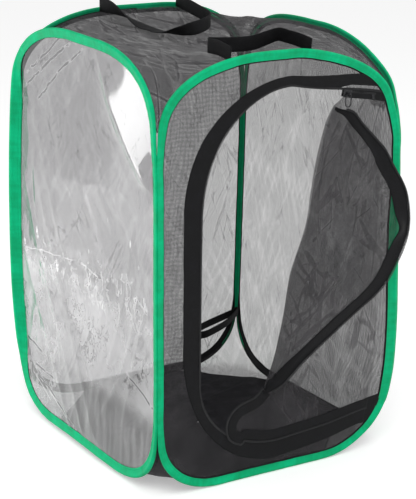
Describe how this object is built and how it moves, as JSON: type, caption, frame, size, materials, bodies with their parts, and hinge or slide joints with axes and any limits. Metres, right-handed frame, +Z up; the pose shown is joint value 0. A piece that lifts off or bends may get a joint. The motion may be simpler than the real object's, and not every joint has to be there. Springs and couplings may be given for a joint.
{
  "type": "insect cage",
  "caption": "Pop-up mesh insect cage on sprung fabric-bound hoops, with a clear window, a zipped door with its corner folded back, carrying handles and a storage loop.",
  "frame": {"origin": "middle of the floor's underside, where the cage stands", "axes": "+Z up, -Y out of the zipped door panel, -X out of the clear window panel"},
  "size_m": [0.4068, 0.4609, 0.619],
  "materials": {
    "binding": "matt woven green binding",
    "spring_steel": "bare spring steel",
    "mesh": "fine dark grey see-through mesh",
    "film": "clear creased film",
    "tape": "matt black woven tape",
    "zip_coil": "black nylon coil",
    "black_metal": "black enamel",
    "floor": "matt black woven cloth",
    "webbing": "matt black webbing"
  },
  "bodies": {
    "front": {"front_binding": "binding", "front_strip": "spring_steel", "front_sleeve": "spring_steel", "front_mesh": "mesh", "door_frame_tape": "tape", "door_frame_coil": "zip_coil", "closed_coil": "zip_coil", "closed_tape": "tape", "zip_end_stop": "black_metal", "roof_mesh": "mesh", "floor_panel": "floor", "back_right_gusset": "mesh", "back_left_gusset": "mesh", "front_left_gusset": "mesh", "front_right_gusset": "mesh", "front_handle": "webbing"},
    "left": {"left_binding": "binding", "left_strip": "spring_steel", "left_sleeve": "spring_steel", "left_window": "film"},
    "right": {"right_binding": "binding", "right_strip": "spring_steel", "right_sleeve": "spring_steel", "right_mesh": "mesh"},
    "back": {"back_binding": "binding", "back_strip": "spring_steel", "back_sleeve": "spring_steel", "back_mesh": "mesh", "back_handle": "webbing", "storage_loop": "webbing"},
    "door": {"door_mesh": "mesh", "door_tape": "tape", "door_coil": "zip_coil"},
    "door_corner": {"corner_mesh": "mesh", "corner_tape": "tape", "corner_coil": "zip_coil"},
    "slider": {"slider_body": "black_metal"},
    "pull": {"slider_pull": "black_metal"}
  },
  "joints": [
    {"name": "fold_left", "type": "hinge", "parent": "front", "child": "left", "pos_m": [-0.1963, -0.1963, 0], "axis": [0, 0, -1], "range_deg": [0, 84], "stiffness_Nm_per_rad": 0.05, "deforming": ["roof_mesh", "floor_panel", "back_right_gusset", "back_left_gusset", "front_left_gusset", "front_right_gusset", "front_handle", "back_handle", "storage_loop"]},
    {"name": "fold_right", "type": "hinge", "parent": "front", "child": "right", "pos_m": [0.1963, -0.1963, 0], "axis": [0, 0, -1], "range_deg": [0, 84]},
    {"name": "fold_back", "type": "hinge", "parent": "left", "child": "back", "pos_m": [-0.1963, 0.1963, 0], "axis": [0, 0, 1], "range_deg": [0, 84]},
    {"name": "door_swing", "type": "hinge", "parent": "front", "child": "door", "pos_m": [0.16, -0.201, 0], "axis": [0, 0, 1], "range_deg": [0, 85]},
    {"name": "door_fold", "type": "hinge", "parent": "door", "child": "door_corner", "pos_m": [-0.036, -0.201, 0.1], "axis": [-0.2195, 0, -0.9756], "range_deg": [0, 160]},
    {"name": "zip_slide", "type": "slide", "parent": "front", "child": "slider", "axis": [0.9836, 0, -0.1805], "range_m": [0, 0.036]},
    {"name": "pull_swing", "type": "hinge", "parent": "slider", "child": "pull", "pos_m": [0.094, -0.2046, 0.53211], "axis": [0, 1, 0], "range_deg": [-20, 35]}
  ],
  "couplings": [
    {"joint": "fold_right", "follows": "fold_left", "ratio": 1},
    {"joint": "fold_back", "follows": "fold_left", "ratio": 1}
  ]
}
